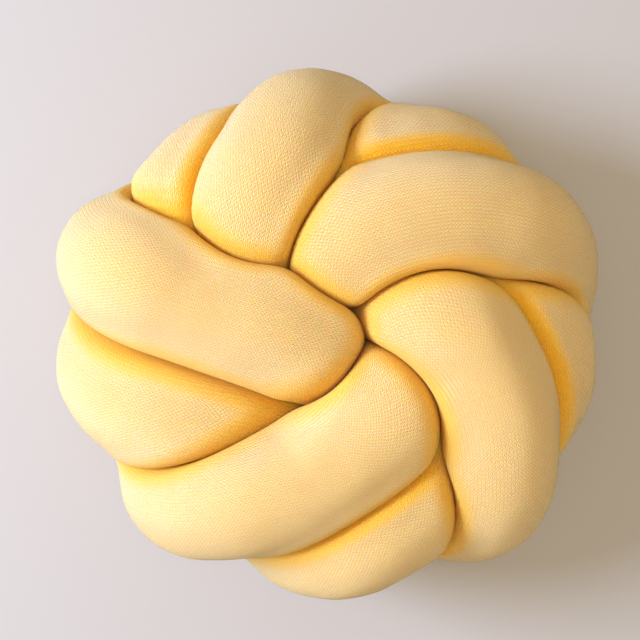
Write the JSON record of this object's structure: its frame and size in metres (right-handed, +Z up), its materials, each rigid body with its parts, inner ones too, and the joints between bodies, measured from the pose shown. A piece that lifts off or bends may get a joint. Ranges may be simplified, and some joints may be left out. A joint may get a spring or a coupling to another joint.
{
  "type": "knot cushion",
  "caption": "Round decorative cushion made of a stuffed knitted tube, joined end to end and tied in a flat knot that looks alike from above and below",
  "frame": {"origin": "on the surface that the cushion rests on, under the middle of its bounding box", "axes": "+Z up, out of the cushion's seen face; +X and +Y in the plane of the knot, with +X to the right and +Y away from a viewer who looks down at that face"},
  "size_m": [0.3066, 0.2954, 0.1502],
  "materials": {
    "yellow_yarn": "fine machine-knit yarn, matt with a slight fuzz"
  },
  "bodies": {
    "root": {"knotted_tube": "yellow_yarn"}
  },
  "joints": []
}
